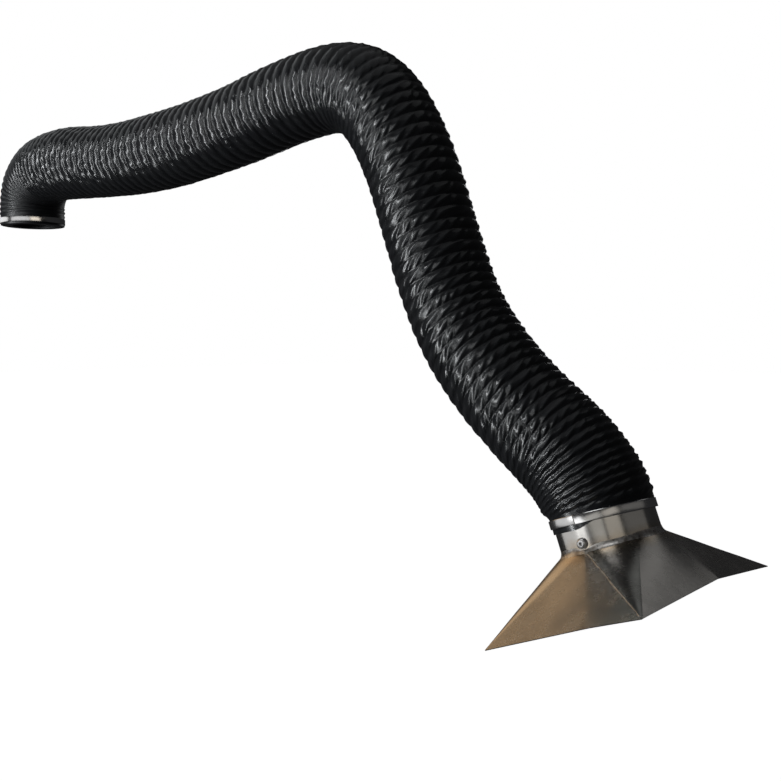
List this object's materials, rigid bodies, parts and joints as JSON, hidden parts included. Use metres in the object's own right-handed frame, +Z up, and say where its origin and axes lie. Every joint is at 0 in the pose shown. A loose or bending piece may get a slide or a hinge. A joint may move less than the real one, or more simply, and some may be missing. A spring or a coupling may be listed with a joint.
{
  "type": "fume extraction arm",
  "caption": "Swivelling fume extraction arm: black ribbed hose over a jointed steel skeleton, clamped to a base collar and to a tilting sheet-steel hood.",
  "frame": {"origin": "centre of the underside of the base ring, where the arm stands on its duct or machine", "axes": "+Z up along the base swivel axis, +X along the lower arm, Y along the shoulder and elbow bolts"},
  "size_m": [2.0667, 0.4102, 1.0295],
  "materials": {
    "black_paint": "black powder coat",
    "hose_black": "black coated fabric over a wire helix",
    "stainless": "satin stainless sheet",
    "fastener": "plain stainless",
    "zinc": "zinc plated steel",
    "cast_alu": "turned aluminium",
    "nylon": "natural nylon",
    "friction": "friction lining",
    "spring_steel": "oiled spring steel"
  },
  "bodies": {
    "base": {"base_ring": "black_paint", "swivel_bush": "nylon", "retaining_ring": "spring_steel"},
    "turret": {"turret_collar": "cast_alu", "cross_bar": "zinc", "shoulder_plate_left": "zinc", "shoulder_plate_right": "zinc", "shoulder_bolt": "fastener", "shoulder_nut": "fastener", "shoulder_disc_left": "friction", "shoulder_disc_right": "friction", "shoulder_spring_pin": "fastener", "base_clamp_band": "fastener", "base_clamp_housing": "fastener", "base_clamp_screw": "zinc", "hose_shoulder": "hose_black"},
    "lower_arm": {"lower_eye": "zinc", "lower_tube": "black_paint", "lower_spring_stud": "fastener", "lower_spring": "spring_steel", "elbow_plate_left": "zinc", "elbow_plate_right": "zinc", "elbow_bolt": "fastener", "elbow_nut": "fastener", "elbow_disc_left": "friction", "elbow_disc_right": "friction", "elbow_spring_pin": "fastener", "hose_lower": "hose_black", "hose_elbow": "hose_black"},
    "outer_arm": {"outer_eye": "zinc", "outer_tube": "black_paint", "outer_spring_stud": "fastener", "outer_spring": "spring_steel", "wrist_socket": "zinc", "hose_outer": "hose_black", "hose_swivel": "hose_black"},
    "wrist": {"wrist_fork": "zinc", "wrist_stem": "fastener", "wrist_nut": "fastener", "swivel_washer": "friction", "hood_screw_left": "fastener", "hood_screw_right": "fastener", "hood_nut_left": "fastener", "hood_nut_right": "fastener", "hood_washer_left": "nylon", "hood_washer_right": "nylon", "hose_cuff": "hose_black"},
    "hood": {"hood_collar": "stainless", "hood_shell": "stainless", "hood_clamp_band": "fastener", "hood_clamp_housing": "fastener", "hood_clamp_screw": "zinc"}
  },
  "joints": [
    {"name": "base_swivel", "type": "hinge", "parent": "base", "child": "turret", "pos_m": [0, 0, 0.021], "axis": [0, 0, 1], "continuous": true},
    {"name": "shoulder", "type": "hinge", "parent": "turret", "child": "lower_arm", "pos_m": [0.01, 0, 0.11], "axis": [0, -1, 0], "range_deg": [-10, 45], "deforming": ["hose_shoulder", "lower_spring"]},
    {"name": "elbow", "type": "hinge", "parent": "lower_arm", "child": "outer_arm", "pos_m": [1.262, 0, 0.152], "axis": [0, -1, 0], "range_deg": [-60, 45], "deforming": ["hose_elbow", "outer_spring"]},
    {"name": "wrist_swivel", "type": "hinge", "parent": "outer_arm", "child": "wrist", "pos_m": [1.8102, 0, -0.6144], "axis": [-0.3546, 0, 0.935], "range_deg": [-90, 90], "deforming": ["hose_swivel"]},
    {"name": "hood_tilt", "type": "hinge", "parent": "wrist", "child": "hood", "pos_m": [1.8102, 0, -0.6144], "axis": [0, -1, 0], "range_deg": [-25, 25], "deforming": ["hose_cuff"]}
  ]
}
